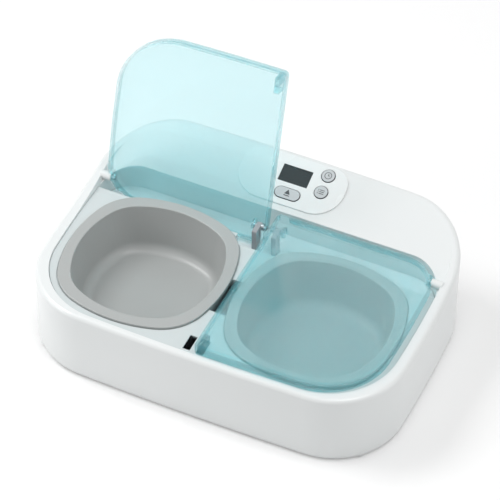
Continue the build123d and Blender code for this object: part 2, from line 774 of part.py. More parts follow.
def build_latch_bracket():
    """Bracket under the deck: cradle for both motors, guide walls for the bolts, two ears."""
    inner = bracket_inside()
    outer = inner + bracket_wall
    floor_top = motor_axis_height - motor_height / 2 - motor_gap
    plate_back = motor_front - motor_gap
    plate_front = plate_back - bracket_wall
    back = motor_front + gearbox_length + motor_can_length
    bracket = block(-outer, outer, plate_front, back, floor_top - bracket_wall, floor_top)
    bracket += block(-outer, outer, plate_front, plate_back, floor_top - join_over, deck_under)
    bolt_half = bolt_width / 2 + bolt_side_gap
    guide_front = latch_tab_back + bolt_side_gap
    middle = latch_x - bolt_half
    guides = [(-outer, -latch_x - bolt_half), (-middle, middle), (latch_x + bolt_half, outer)]
    for low, high in guides:
        bracket += block(low, high, guide_front, plate_front + join_over, guide_low, deck_under)
    for side in (-1, 1):
        low, high = sorted((side * inner, side * outer))
        bracket += block(low, high, plate_front, back, floor_top - bracket_wall, guide_low)
        bracket += block(low, high, ear_front, plate_front + join_over, guide_low, deck_under)
        low, high = sorted((side * (outer - join_over), side * (outer + ear_length)))
        bracket += block(low, high, ear_front, ear_front + ear_width, deck_under - bracket_wall, deck_under)
        bracket -= cylinder_y(lead_screw_radius + bolt_side_gap, plate_front - cut_over,
                              plate_back + cut_over, side * latch_x, motor_axis_height)
        hole_x, hole_y = bracket_screw_place(side)
        bracket -= cylinder_z(small_screw_hole, guide_low, sky, hole_x, hole_y)
    return bracket


def bracket_screw_place(side):
    """Where a bracket screw goes into the deck, on one side."""
    return side * (bracket_inside() + bracket_wall + ear_length / 2), ear_front + ear_width / 2


def build_bracket_screws():
    """Two small screws that hold the latch bracket to the deck."""
    screws = []
    for side in (-1, 1):
        x, y = bracket_screw_place(side)
        under = deck_under - bracket_wall
        shaft = cylinder_z(small_screw_radius, under - join_over, under + bracket_screw_length, x, y)
        screws.append(shaft + cylinder_z(small_head_radius, under - small_head_height, under, x, y))
    return Compound(children=screws)


def button_outlines(grow=0.0):
    """The three buttons' outlines in the panel's plane, by name."""
    pill = SlotOverall(open_button_length + 2 * grow, open_button_height + 2 * grow)
    disc = Circle(round_button_diameter / 2 + grow)
    return {
        "open_button": Pos(open_button_x, open_button_v) * pill,
        "clock_button": Pos(round_button_x, upper_button_v) * disc,
        "menu_button": Pos(round_button_x, lower_button_v) * disc,
    }


def button_centres():
    """The three buttons' centres in the panel's plane, by name."""
    return {
        "open_button": (open_button_x, open_button_v),
        "clock_button": (round_button_x, upper_button_v),
        "menu_button": (round_button_x, lower_button_v),
    }


def panel_boss_centres():
    """Places of the four bosses that carry the circuit board."""
    return [(-panel_boss_x, panel_boss_low), (-panel_boss_x, panel_boss_high),
            (panel_boss_x, panel_boss_low), (panel_boss_side_x, panel_boss_side_v)]


def build_control_panel():
    """White pill-shaped plate with holes for the display and the buttons, and board bosses."""
    plate = slab(panel_outline(), 0, panel_rise)
    plate = fillet(plate.faces().sort_by(Axis.Z)[-1].edges(), panel_edge_radius)
    plate += slab(panel_outline(-panel_lip), -panel_recess, panel_rise / 2)
    glass = Pos(display_x, display_v) * Rectangle(display_width + 2 * display_gap,
                                                  display_height + 2 * display_gap)
    deep = board_depth + cut_over
    plate -= slab(glass, -deep, deep)
    for outline in button_outlines(button_gap).values():
        plate -= slab(outline, -deep, deep)
    for x, v in panel_boss_centres():
        plate += cylinder_z(panel_boss_radius, -board_depth, join_over - panel_recess, x, v)
        plate -= cylinder_z(small_screw_hole, -deep, -board_depth + board_screw_length, x, v)
    return panel_plane * plate


def build_display_window():
    """Dark clear window over the display."""
    glass = Pos(display_x, display_v) * Rectangle(display_width, display_height)
    return on_panel(glass, -panel_recess, panel_rise - display_recess)


def build_display_module():
    """Display module between the window and the circuit board."""
    size = Rectangle(display_width + 2 * display_frame, display_height + 2 * display_frame)
    return on_panel(Pos(display_x, display_v) * size, -board_depth, -panel_recess - display_seat_gap)


def build_button(name):
    """One push button: cap, flange under the panel and stem over its switch."""
    cap = slab(button_outlines()[name], -panel_recess - join_over, panel_rise + button_rise)
    cap = fillet(cap.faces().sort_by(Axis.Z)[-1].edges(), button_edge_radius)
    top = -panel_recess - button_flange_gap
    flange = slab(button_outlines(button_gap + button_flange_width)[name], top - button_flange, top)
    x, v = button_centres()[name]
    low = top - button_flange - button_stem_length
    return panel_plane * (cap + flange + cylinder_z(button_stem_radius, low, top, x, v))


def switch_top():
    """Level of the switch plungers: just under a fully pressed button's stem."""
    stem = -panel_recess - button_flange_gap - button_flange - button_stem_length
    return stem - button_travel - switch_gap


def build_switch(name):
    """Tact switch on the circuit board under one button."""
    x, v = button_centres()[name]
    body = Pos(x, v) * Rectangle(switch_size, switch_size)
    plunger = cylinder_z(switch_plunger_radius, -board_depth, switch_top(), x, v)
    return panel_plane * (slab(body, -board_depth, -board_depth + switch_body_height) + plunger)


def build_circuit_board():
    """Circuit board on the panel's bosses, with four screw holes."""
    outline = Pos(0, (board_low + board_high) / 2) * Rectangle(2 * board_half_width, board_high - board_low)
    board = slab(outline, -board_depth - board_thickness, -board_depth)
    for x, v in panel_boss_centres():
        board -= cylinder_z(small_screw_hole, -board_depth - board_thickness - cut_over, 0, x, v)
    return panel_plane * board


def build_board_screws():
    """Four small screws through the board into the panel's bosses."""
    under = -board_depth - board_thickness
    screws = []
    for x, v in panel_boss_centres():
        shaft = cylinder_z(small_screw_radius, under - join_over,
                           board_screw_length - board_depth - board_thickness - screw_end_gap, x, v)
        head = cylinder_z(small_head_radius, under - small_head_height, under, x, v)
        screws.append(panel_plane * (shaft + head))
    return Compound(children=screws)


def build_controller_chip():
    """Controller chip on the circuit board."""
    return on_panel(Pos(chip_x, chip_v) * Rectangle(chip_size, chip_size),
                    -board_depth, -board_depth + chip_height)


def build_buzzer():
    """Round buzzer with its sound hole on the circuit board."""
    can = cylinder_z(buzzer_radius, -board_depth, -board_depth + buzzer_height, buzzer_x, buzzer_v)
    hole_low = buzzer_height - buzzer_hole_depth - board_depth
    hole = cylinder_z(buzzer_hole_radius, hole_low, 0, buzzer_x, buzzer_v)
    return panel_plane * (can - hole)


def base_screw_places():
    """Places of the screws that go up through the bottom cover."""
    return four_corners(shell_boss_x, shell_boss_y) + deck_boss_places()


def door_outline(grow=0.0):
    """The battery door seen from above: it ends with the body's back edge."""
    face = Pos(0, door_front - grow + body_depth / 2) * Rectangle(
        2 * (door_half_width + grow), body_depth)
    return face & body_outline(base_band_inset - grow if grow else base_band_inset)


def cell_centres():
    """Centres of the four cells: two rows of two."""
    z = base_top + cell_gap / 2 + cell_radius
    row = cell_radius + cell_gap / 2
    return [(sx * cell_length / 2, cell_row_y + sy * row, z) for sy in (-1, 1) for sx in (-1, 1)]


def build_bottom_cover():
    """White bottom: plate, edge band, lip inside the shell, screw seats and battery opening."""
    band_top = shell_bottom - parting_gap
    lip_out = shell_wall + base_lip_gap
    lip_in = lip_out + base_lip_wall
    plate = slab(body_outline(base_band_inset), base_height, base_top)
    plate = fillet(plate.faces().sort_by(Axis.Z)[0].edges(), base_edge_radius)
    ring = slab(body_outline(base_band_inset), base_top, band_top)
    lip = slab(body_outline(lip_out), base_top, shell_bottom + base_lip_height)
    inner = slab(body_outline(lip_in), base_top, sky)
    lip -= inner
    ring -= inner
    for x, y in four_corners(shell_boss_x, shell_boss_y):
        lip -= cylinder_z(boss_radius + lip_boss_gap, base_top, sky, x, y)
        ring += cylinder_z(boss_radius, base_top - join_over, shell_bottom - boss_seat_gap, x, y)
    cover = plate + ring + lip
    for x, y in base_screw_places():
        cover -= cylinder_z(screw_head_radius + screw_head_gap, 0,
                            base_height + screw_head_gap + screw_head_height, x, y)
        cover -= cylinder_z(screw_hole_radius, 0, shell_bottom + cut_over, x, y)
    for x, y in four_corners(foot_x, foot_y):
        cover -= cylinder_z(foot_radius + screw_head_gap, 0, base_height + foot_recess, x, y)
    recess_top = base_height + door_thickness + door_gap
    half = door_half_width + door_gap
    cover -= block(-half, half, door_front - door_gap, body_depth, 0, recess_top)
    cover -= block(-half - door_tongue, half + door_tongue, door_front - door_gap, body_depth,
                   recess_top - door_thickness / 2 - 2 * door_gap, recess_top)
    low_y, high_y = box_inside_y()
    ledge = box_ledge
    return cover - block(ledge - box_inside_x(), box_inside_x() - ledge, low_y + ledge, high_y - ledge,
                         0, base_top + cut_over)


def box_inside_x():
    """Half of the battery box's inner length."""
    return cell_length + contact_space


def box_inside_y():
    """The battery box's inner front and back."""
    reach = 2 * cell_radius + cell_gap
    return cell_row_y - reach, cell_row_y + reach


def build_battery_box():
    """Battery box over the opening in the bottom cover."""
    low_y, high_y = box_inside_y()
    half = box_inside_x()
    top = base_top + 2 * cell_radius + cell_gap
    outer = block(-half - box_wall, half + box_wall, low_y - box_wall, high_y + box_wall,
                  base_top, top + box_wall)
    return outer - block(-half, half, low_y, high_y, 0, top)


def build_cell(centre, turned):
    """One round cell along X, with its raised end towards +X or, turned, towards -X."""
    x, y, z = centre
    end = cell_length / 2
    body = cylinder_x(cell_radius, x - end, x + end - cell_nub_length, y, z)
    body = fillet(body.edges(), cell_edge_radius)
    cell = body + cylinder_x(cell_nub_radius, x + end - cell_nub_length - join_over, x + end, y, z)
    return Pos(2 * x, 0, 0) * mirrored(cell) if turned else cell


def build_battery_contacts():
    """Four metal contact plates at the ends of the rows."""
    plates = []
    half_width = contact_width / 2
    for x, y, z in cell_centres():
        side = 1 if x > 0 else -1
        wall = side * box_inside_x()
        inner = wall - side * contact_thickness
        nib = cell_length * side
        plate = block(min(wall, inner), max(wall, inner), y - half_width, y + half_width,
                      z - half_width, z + half_width)
        tip = nib + side * contact_gap
        plates.append(plate + cylinder_x(cell_nub_radius, min(inner, tip), max(inner, tip), y, z))
    return Compound(children=plates)


def build_battery_door():
    """Sliding battery door with side tongues and thumb ridges."""
    low = base_height + door_sink
    high = low + door_thickness
    door = slab(door_outline(), low, high)
    for side in (-1, 1):
        edge = side * door_half_width
        far = edge + side * door_tongue
        inner = edge - side * join_over
        door += block(min(inner, far), max(inner, far), door_front, body_depth / 2 - door_tongue_inset,
                      high - door_thickness / 2, high)
    for index in range(door_ridges):
        y = body_depth / 2 - door_ridge_inset - index * door_ridge_pitch
        door -= block(-door_ridge_half, door_ridge_half, y, y + door_ridge_pitch / 2, 0, low + door_ridge_depth)
    return door


def build_foot(x, y):
    """Rubber foot let into the bottom cover."""
    foot = cylinder_z(foot_radius, 0, base_height + foot_recess, x, y)
    return fillet(foot.edges().group_by(Axis.Z)[0], foot_edge_radius)


def build_base_screws():
    """Eight screws from below: four into the shell, two into the deck, two into the channel."""
    screws = []
    seat = base_height + screw_head_gap
    for x, y in base_screw_places():
        head = cylinder_z(screw_head_radius, seat, seat + screw_head_height, x, y)
        head -= block(x - screw_slot_width / 2, x + screw_slot_width / 2, y - screw_head_radius,
                      y + screw_head_radius, 0, seat + screw_slot_depth)
        screws.append(head + cylinder_z(screw_radius, seat + screw_head_height - screw_slot_depth / 2,
                                        seat + screw_length, x, y))
    return Compound(children=screws)


def open_lid(lid):
    """The lid turned up by its open angle about the hinge pins."""
    return lid.rotate(Axis((0, hinge_y, hinge_z), (1, 0, 0)), -lid_open_angle)


def build_parts():
    """Every piece of the feeder, by name, at rest: left lid open, right lid closed."""
    bowl = build_bowl()
    lid = build_left_lid()
    inner_pin = build_left_inner_pin()
    parts = {
        "outer_shell": build_outer_shell(),
        "bottom_cover": build_bottom_cover(),
        "deck": build_deck(),
        "hinge_channel": build_hinge_channel(),
        "left_bowl": bowl_places()[0] * bowl,
        "right_bowl": bowl_places()[1] * bowl,
        "left_lid": open_lid(lid),
        "right_lid": mirrored(lid),
        "left_inner_hinge_pin": open_lid(inner_pin),
        "right_inner_hinge_pin": mirrored(inner_pin),
        "control_panel": build_control_panel(),
        "display_window": build_display_window(),
        "display_module": build_display_module(),
        "circuit_board": build_circuit_board(),
        "board_screws": build_board_screws(),
        "controller_chip": build_controller_chip(),
        "buzzer": build_buzzer(),
        "latch_bracket": build_latch_bracket(),
        "bracket_screws": build_bracket_screws(),
        "battery_box": build_battery_box(),
        "battery_contacts": build_battery_contacts(),
        "battery_door": build_battery_door(),
        "base_screws": build_base_screws(),
    }
    for name in button_centres():
        parts[name] = build_button(name)
        parts[name.replace("button", "switch")] = build_switch(name)
    both_sides = {
        "hinge_post": build_left_post(),
        "lid_spring": build_left_spring(),
        "outer_hinge_pin": build_left_outer_pin(),
        "latch_bolt": build_left_bolt(),
        "lead_screw": build_left_lead_screw(),
        "latch_motor": build_left_motor(),
    }
    for name, piece in both_sides.items():
        parts["left_" + name] = piece
        parts["right_" + name] = mirrored(piece)
    for index, centre in enumerate(cell_centres()):
        parts[f"battery_cell_{index + 1}"] = build_cell(centre, turned=index > 1)
    for x, y in four_corners(foot_x, foot_y):
        place = ("front" if y < 0 else "back") + "_" + ("left" if x < 0 else "right")
        parts[place + "_foot"] = build_foot(x, y)
    return parts


os.makedirs("parts", exist_ok=True)
for part_name, part_shape in build_parts().items():
    export_step(part_shape, os.path.join("parts", part_name + ".step"))
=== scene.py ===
"""Looks of the two-meal pet feeder: finishes, marks on the keys, studio and camera.

Every length is in metres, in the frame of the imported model: +X to the object's right seen from
the front, +Y to the back, +Z up, with the origin on the table under the middle of the body.
"""

from __future__ import annotations

import json
import logging
import math
from collections.abc import Iterator
from contextlib import contextmanager
from dataclasses import dataclass, replace
from enum import Enum

import bpy
from mathutils import Matrix, Vector

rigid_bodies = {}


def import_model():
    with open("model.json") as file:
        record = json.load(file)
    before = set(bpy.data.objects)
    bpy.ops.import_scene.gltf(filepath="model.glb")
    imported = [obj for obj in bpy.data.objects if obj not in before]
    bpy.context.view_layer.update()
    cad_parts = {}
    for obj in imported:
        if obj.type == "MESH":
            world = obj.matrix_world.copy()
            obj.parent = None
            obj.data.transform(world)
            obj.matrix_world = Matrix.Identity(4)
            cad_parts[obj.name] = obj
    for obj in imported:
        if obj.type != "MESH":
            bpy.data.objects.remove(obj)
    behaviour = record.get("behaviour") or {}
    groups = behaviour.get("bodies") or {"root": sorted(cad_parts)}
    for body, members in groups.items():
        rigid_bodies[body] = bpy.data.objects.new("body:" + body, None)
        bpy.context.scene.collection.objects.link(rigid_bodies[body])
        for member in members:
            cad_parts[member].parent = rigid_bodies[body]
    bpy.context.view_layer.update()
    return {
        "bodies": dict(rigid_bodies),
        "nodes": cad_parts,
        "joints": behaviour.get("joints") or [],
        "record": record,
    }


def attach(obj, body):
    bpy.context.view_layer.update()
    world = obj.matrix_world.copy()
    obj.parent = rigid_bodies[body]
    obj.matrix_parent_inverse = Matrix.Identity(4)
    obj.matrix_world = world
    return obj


LOG = logging.getLogger("feeder")

Colour = tuple[float, float, float]
Direction = tuple[float, float, float]
Place = tuple[float, float]
Span = tuple[float, float]

PANEL_SLOPE = 20.5
"""Slope of the back face that carries the panel, in degrees."""

LID_OPENING = 104.0
"""Angle at which the left lid stands open at rest, in degrees."""

"""The record's material slot that the marks on the keys belong to."""


class Body(Enum):
    """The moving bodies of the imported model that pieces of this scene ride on."""

    OPEN_KEY = "open_key"
    CLOCK_KEY = "clock_key"
    MENU_KEY = "menu_key"


def deselect_all() -> None:
    """Return to object mode with nothing selected."""
    if bpy.context.object is not None and bpy.context.object.mode != "OBJECT":
        bpy.ops.object.mode_set(mode="OBJECT")
    bpy.ops.object.select_all(action="DESELECT")


def apply_modifiers(obj: bpy.types.Object) -> None:
    """Apply all modifiers of an object in order.

    Args:
        obj: The object whose modifiers are applied.
    """
    deselect_all()
    obj.select_set(True)
    bpy.context.view_layer.objects.active = obj
    for name in [modifier.name for modifier in obj.modifiers]:
        bpy.ops.object.modifier_apply(modifier=name)


@contextmanager
def whole_mesh_in_edit_mode() -> Iterator[None]:
    """Edit the active object with all of its mesh selected, then return to object mode."""
    bpy.ops.object.mode_set(mode="EDIT")
    bpy.ops.mesh.select_all(action="SELECT")
    yield
    bpy.ops.object.mode_set(mode="OBJECT")


def up_turned(angle: float) -> Direction:
    """Return the upward direction turned about the X axis.

    Args:
        angle: The turn in degrees. A positive one tilts the top towards the front.

    Returns:
        The turned direction.
    """
    turn = math.radians(angle)
    return (0.0, -math.sin(turn), math.cos(turn))


def math_node(
    tree: bpy.types.NodeTree, operation: str, *given: bpy.types.NodeSocket | float
) -> bpy.types.NodeSocket:
    """Add a Math node.

    Args:
        tree: The node tree that it goes into.
        operation: What the node does.
        given: A socket or a number for each of its inputs, in order.

    Returns:
        The socket with the result.
    """
    node = tree.nodes.new("ShaderNodeMath")
    node.operation = operation
    for socket, value in zip(node.inputs, given):
        if isinstance(value, bpy.types.NodeSocket):
            tree.links.new(value, socket)
        else:
            socket.default_value = value
    return node.outputs[0]


def ramp(
    tree: bpy.types.NodeTree, value: bpy.types.NodeSocket, source: Span, target: Span
) -> bpy.types.NodeSocket:
    """Add a Map Range node, which keeps its end values outside the source span.

    Args:
        tree: The node tree that it goes into.
        value: The socket with the value.
        source: The two ends of the value.
        target: What comes out at these ends.

    Returns:
        The socket with the result.
    """
    node = tree.nodes.new("ShaderNodeMapRange")
    labels = ("From Min", "From Max", "To Min", "To Max")
    for label, number in zip(labels, (*source, *target)):
        node.inputs[label].default_value = number
    tree.links.new(value, node.inputs["Value"])
    return node.outputs["Result"]


def colour_mix(
    tree: bpy.types.NodeTree, share: bpy.types.NodeSocket, first: Colour,
    second: Colour | bpy.types.NodeSocket,
) -> bpy.types.NodeSocket:
    """Add a Mix node for two colours.

    Args:
        tree: The node tree that it goes into.
        share: The socket with the share of the second colour.
        first: The first colour.
        second: The second colour, or a socket that gives it.

    Returns:
        The socket with the mixed colour.
    """
    node = tree.nodes.new("ShaderNodeMix")
    node.data_type = "RGBA"
    tree.links.new(share, node.inputs["Factor"])
    node.inputs["A"].default_value = (*first, 1.0)
    if isinstance(second, bpy.types.NodeSocket):
        tree.links.new(second, node.inputs["B"])
    else:
        node.inputs["B"].default_value = (*second, 1.0)
    return node.outputs["Result"]


def sight_mask(tree: bpy.types.NodeTree) -> bpy.types.NodeSocket:
    """Add a mask of the rays that show a thing, in place of those that carry its light.

    Args:
        tree: The node tree that the nodes go into.

    Returns:
        A socket that is 1 for the camera, in gloss and through glass, and else 0.
    """
    path = tree.nodes.new("ShaderNodeLightPath")
    glassy = math_node(
        tree, "MAXIMUM", path.outputs["Is Glossy Ray"], path.outputs["Is Transmission Ray"]
    )
    return math_node(tree, "MAXIMUM", path.outputs["Is Camera Ray"], glassy)


class GrainGroup:
    """Shader group for the fine texture of moulded plastic.

    It puts out a height for a Bump node, a roughness that drifts a little over the surface, and
    the soft patches that it drifts by.
    """

    name = "Moulded Grain"
    defaults = {"Grain Scale": 900.0, "Patch Scale": 14.0, "Roughness": 0.4, "Drift": 0.06}
    outputs = ("Height", "Roughness", "Patch")
    grain_detail = 3.0
    patch_detail = 2.0
    noise_middle = 0.5
    _tree: bpy.types.NodeTree | None = None

    @classmethod
    def tree(cls) -> bpy.types.NodeTree:
        """Return the group's node tree, built at the first call."""
        if cls._tree is None:
            cls._tree = cls._build()
        return cls._tree

    @classmethod
    def _build(cls) -> bpy.types.NodeTree:
        """Make the sockets and nodes of the group.

        Returns:
            The finished node tree.
        """
        tree = bpy.data.node_groups.new(cls.name, "ShaderNodeTree")
        kind = "NodeSocketFloat"
        for label, default in cls.defaults.items():
            socket = tree.interface.new_socket(name=label, in_out="INPUT", socket_type=kind)
            socket.default_value = default
        for label in cls.outputs:
            tree.interface.new_socket(name=label, in_out="OUTPUT", socket_type=kind)
        given = tree.nodes.new("NodeGroupInput").outputs
        out = tree.nodes.new("NodeGroupOutput").inputs
        grain = cls._noise(tree, given["Grain Scale"], cls.grain_detail)
        patch = cls._noise(tree, given["Patch Scale"], cls.patch_detail)
        centred = math_node(tree, "SUBTRACT", patch, cls.noise_middle)
        rough = math_node(tree, "MULTIPLY_ADD", centred, given["Drift"], given["Roughness"])
        tree.links.new(grain, out["Height"])
        tree.links.new(rough, out["Roughness"])
        tree.links.new(patch, out["Patch"])
        return tree

    @staticmethod
    def _noise(
        tree: bpy.types.NodeTree, scale: bpy.types.NodeSocket, detail: float
    ) -> bpy.types.NodeSocket:
        """Add noise that sticks to the object.

        Args:
            tree: The node tree that it goes into.
            scale: The socket with its fineness.
            detail: Its number of finer layers.

        Returns:
            The socket with the noise.
        """
        place = tree.nodes.new("ShaderNodeTexCoord")
        noise = tree.nodes.new("ShaderNodeTexNoise")
        noise.inputs["Detail"].default_value = detail
        tree.links.new(place.outputs["Object"], noise.inputs["Vector"])
        tree.links.new(scale, noise.inputs["Scale"])
        return noise.outputs["Fac"]


@dataclass(frozen=True)
class PaintedShade:
    """Painted shade on a plastic: a darker colour on its low parts, its sides or its edges.

    The surface's place or normal is measured along an axis, and the size of that measure tells
    the tones apart, so that both faces of a wall are alike.

    Attributes:
        colour: The colour of the painted shade, linear.
        span: Measures up to which the painted shade is full and from which the main tone is.
        axis: The direction of the measure.
        by_normal: Whether the normal is measured, and not the place.
        alpha: Opacity where the painted shade is full, or None where it is the main tone's.
    """

    colour: Colour
    span: Span
    axis: Direction = (0.0, 0.0, 1.0)
    by_normal: bool = True
    alpha: float | None = None

    def main_share(self, tree: bpy.types.NodeTree) -> bpy.types.NodeSocket:
        """Add the measure of the surface.

        Args:
            tree: The material's node tree.

        Returns:
            The socket with the share of the main tone.
        """
        source = tree.nodes.new("ShaderNodeTexCoord")
        along = tree.nodes.new("ShaderNodeVectorMath")
        along.operation = "DOT_PRODUCT"
        along.inputs[1].default_value = self.axis
        tree.links.new(source.outputs["Normal" if self.by_normal else "Object"], along.inputs[0])
        size = math_node(tree, "ABSOLUTE", along.outputs["Value"])
        return ramp(tree, size, self.span, (0.0, 1.0))


@dataclass(frozen=True)
class Plastic:
    """A moulded surface with grain, a soft drift of gloss, a faint drift of tone and any painted
    shade.

    Attributes:
        name: Name of the material.
        colour: Main colour, linear.
        shade: Colour of the slightly darker patches, linear.
        roughness: Middle roughness.
        drift: How far the roughness drifts over the surface.
        grain_scale: Fineness of the grain.
        grain_depth: Height of the grain for the bump, in metres.
        grain_strength: Strength of that bump.
        coat: Weight of a clear gloss layer.
        coat_roughness: Roughness of that layer.
        alpha: Opacity of one surface.
        metallic: Metallic share.
        clear: Share of the light that goes through the opaque part, tinted by the colour.
        side: Painted shade on the low parts, the sides or the edges, or None.
    """

    name: str
    colour: Colour
    shade: Colour
    roughness: float = 0.4
    drift: float = 0.08
    grain_scale: float = 900.0
    grain_depth: float = 0.00002
    grain_strength: float = 0.6
    coat: float = 0.0
    coat_roughness: float = 0.08
    alpha: float = 1.0
    metallic: float = 0.0
    clear: float = 0.0
    side: PaintedShade | None = None

    def material(self) -> bpy.types.Material:
        """Return the material, built at the first call."""
        found = bpy.data.materials.get(self.name)
        return found if found is not None else self._build()

    def _build(self) -> bpy.types.Material:
        """Make the material's nodes.

        Returns:
            The finished material.
        """
        material = bpy.data.materials.new(self.name)
        material.use_nodes = True
        tree = material.node_tree
        shader = tree.nodes["Principled BSDF"].inputs
        shader["Metallic"].default_value = self.metallic
        shader["Coat Weight"].default_value = self.coat
        shader["Coat Roughness"].default_value = self.coat_roughness
        shader["Alpha"].default_value = self.alpha
        shader["Transmission Weight"].default_value = self.clear
        grain = tree.nodes.new("ShaderNodeGroup")
        grain.node_tree = GrainGroup.tree()
        grain.inputs["Grain Scale"].default_value = self.grain_scale
        grain.inputs["Roughness"].default_value = self.roughness
        grain.inputs["Drift"].default_value = self.drift
        tone = colour_mix(tree, grain.outputs["Patch"], self.colour, self.shade)
        # Painted shade: the low parts, sides or edges are mixed towards a darker colour, and
        # their opacity is changed where one is given.
        if self.side is not None:
            main_share = self.side.main_share(tree)
            tone = colour_mix(tree, main_share, self.side.colour, tone)
            if self.side.alpha is not None:
                cover = ramp(tree, main_share, (0.0, 1.0), (self.side.alpha, self.alpha))
                tree.links.new(cover, shader["Alpha"])
        tree.links.new(tone, shader["Base Color"])
        tree.links.new(grain.outputs["Roughness"], shader["Roughness"])
        bump = tree.nodes.new("ShaderNodeBump")
        bump.inputs["Strength"].default_value = self.grain_strength
        bump.inputs["Distance"].default_value = self.grain_depth
        tree.links.new(grain.outputs["Height"], bump.inputs["Height"])
        tree.links.new(bump.outputs["Normal"], shader["Normal"])
        return material


class Finish(Enum):
    """Every finish of the feeder."""

    BODY = Plastic(
        "Body White", (0.80, 0.82, 0.82), (0.77, 0.795, 0.795), 0.3, grain_scale=1500.0, coat=0.3
    )
    PANEL = Plastic("Panel White", (0.84, 0.865, 0.865), (0.82, 0.845, 0.845), 0.26, coat=0.3)
    # Painted shade: the deck's colour goes near black below its top, down in the finger well, the
    # latch slots and the bowl seats.
    DECK = Plastic(
        "Deck Grey", (0.62, 0.67, 0.675), (0.59, 0.64, 0.645), 0.45, coat=0.1,
        side=PaintedShade((0.10, 0.115, 0.12), (0.0625, 0.0722), by_normal=False),
    )
    # Painted light: the hinge trough is coloured much lighter than the deck grey to lift the
    # shade that falls in it.
    CHANNEL = Plastic("Channel Grey", (0.80, 0.835, 0.84), (0.77, 0.81, 0.815), 0.45, coat=0.1)
    POST = Plastic("Post Grey", (0.34, 0.35, 0.37), (0.31, 0.32, 0.34), 0.26, coat=0.5)
    BOWL = Plastic(
        "Bowl Grey", (0.42, 0.435, 0.43), (0.40, 0.415, 0.41), 0.36, grain_scale=700.0, coat=0.15
    )
    # Painted shade: the lid's side walls and steep edges are a deeper and more opaque tint,
    # standing in for light running a longer way through them.
    LID = Plastic(
        "Lid Blue", (0.165, 0.785, 0.88), (0.145, 0.765, 0.86), 0.12, drift=0.04,
        grain_depth=0.000004, alpha=0.275, clear=0.74,
        side=PaintedShade((0.04, 0.48, 0.55), (0.0, 0.55), alpha=0.47),
    )
    # The same painted shade, measured across the open lid's turned plate.
    OPEN_LID = replace(
        LID, name="Open Lid Blue", side=replace(LID.side, axis=up_turned(-LID_OPENING))
    )
    # Painted shade: the keys' sides, down in the gap around each cap, are near black.
    KEY = Plastic(
        "Key Grey", (0.57, 0.595, 0.61), (0.54, 0.565, 0.58), 0.45, grain_scale=1200.0,
        side=PaintedShade((0.08, 0.09, 0.10), (0.3, 0.85), axis=up_turned(PANEL_SLOPE)),
    )
    MARK = Plastic("Key Mark", (0.075, 0.085, 0.09), (0.06, 0.07, 0.075), 0.6)
    GLASS = Plastic(
        "Display Glass", (0.045, 0.065, 0.07), (0.04, 0.06, 0.065), 0.14, drift=0.03,
        grain_depth=0.000001, alpha=0.6,
    )
    LCD = Plastic("Display Grey", (0.07, 0.10, 0.105), (0.06, 0.09, 0.095), 0.55)
    BOARD = Plastic("Board Green", (0.01, 0.09, 0.04), (0.015, 0.12, 0.05), 0.35)
    BLACK = Plastic("Black Plastic", (0.012, 0.012, 0.013), (0.02, 0.02, 0.022), 0.5)
    LATCH = Plastic("Latch Grey", (0.10, 0.11, 0.12), (0.085, 0.095, 0.105), 0.45)
    STEEL = Plastic("Bright Steel", (0.62, 0.63, 0.65), (0.55, 0.56, 0.58), 0.24, metallic=1.0)
    MOTOR = Plastic("Motor Steel", (0.42, 0.43, 0.45), (0.36, 0.37, 0.39), 0.4, metallic=1.0)
    CONTACT = Plastic("Nickel Plate", (0.66, 0.65, 0.62), (0.6, 0.59, 0.56), 0.22, metallic=1.0)
    CELL = Plastic("Cell Jacket", (0.02, 0.026, 0.04), (0.026, 0.033, 0.05), 0.3, coat=0.4)
    RUBBER = Plastic(
        "Foot Rubber", (0.02, 0.02, 0.022), (0.028, 0.028, 0.03), 0.75, grain_scale=500.0
    )


SLOT_FINISHES: dict[str, Finish] = {
    "body_white": Finish.BODY,
    "deck_grey": Finish.DECK,
    "bowl_grey": Finish.BOWL,
    "lid_blue": Finish.LID,
    "button_grey": Finish.KEY,
    "display_glass": Finish.GLASS,
    "display_grey": Finish.LCD,
    "board_green": Finish.BOARD,
    "part_black": Finish.BLACK,
    "latch_grey": Finish.LATCH,
    "steel": Finish.STEEL,
    "motor_steel": Finish.MOTOR,
    "contact_metal": Finish.CONTACT,
    "cell_jacket": Finish.CELL,
    "foot_rubber": Finish.RUBBER,
}
"""Finish of each of the record's material slots."""

NODE_FINISHES: dict[str, Finish] = {
    "left_lid": Finish.OPEN_LID,
    "control_panel": Finish.PANEL,
    "hinge_channel": Finish.CHANNEL,
    "left_hinge_post": Finish.POST,
    "right_hinge_post": Finish.POST,
}
"""Finish of the nodes that differ from their slot's."""


@dataclass(frozen=True)
class PackedModel:
    """The CAD nodes, dressed by the record's material slots.

    Attributes:
    """

    frame: dict

    def dress(self) -> None:
        """Give every CAD node its finish."""
        slots = {row["node"]: row["material_slot"] for row in self.frame["record"]["subparts"]}
        for node, obj in self.frame["nodes"].items():
            finish = NODE_FINISHES.get(node, SLOT_FINISHES[slots[node]])
            obj.data.materials.clear()
            obj.data.materials.append(finish.value.material())
            LOG.info("dressed %s in %s", node, finish.value.name)


@dataclass(frozen=True)
class PanelPlane:
    """The plane of the sloping back face, in which the keys are measured.

    Attributes:
        y: Y of the plane's own origin.
        z: Height of the plane's own origin.
        angle: Slope in degrees.
    """

    y: float = 0.0905
    z: float = 0.09303
    angle: float = PANEL_SLOPE

    def matrix(self, place: Place, rise: float) -> Matrix:
        """Return the matrix that lays a flat piece on the plane.

        Args:
            place: Place on the plane, sideways and up the slope.
            rise: Height over the plane.

        Returns:
            The matrix from flat to in place.
        """
        tilt = Matrix.Rotation(math.radians(self.angle), 4, "X")
        return Matrix.Translation((0, self.y, self.z)) @ tilt @ Matrix.Translation((*place, rise))


@dataclass(frozen=True)
class Bar:
    """A flat bar of a pictogram.

    Attributes:
        width: Length along X.
        height: Length along Y.
        place: Centre of the bar.
    """

    width: float
    height: float
    place: Place


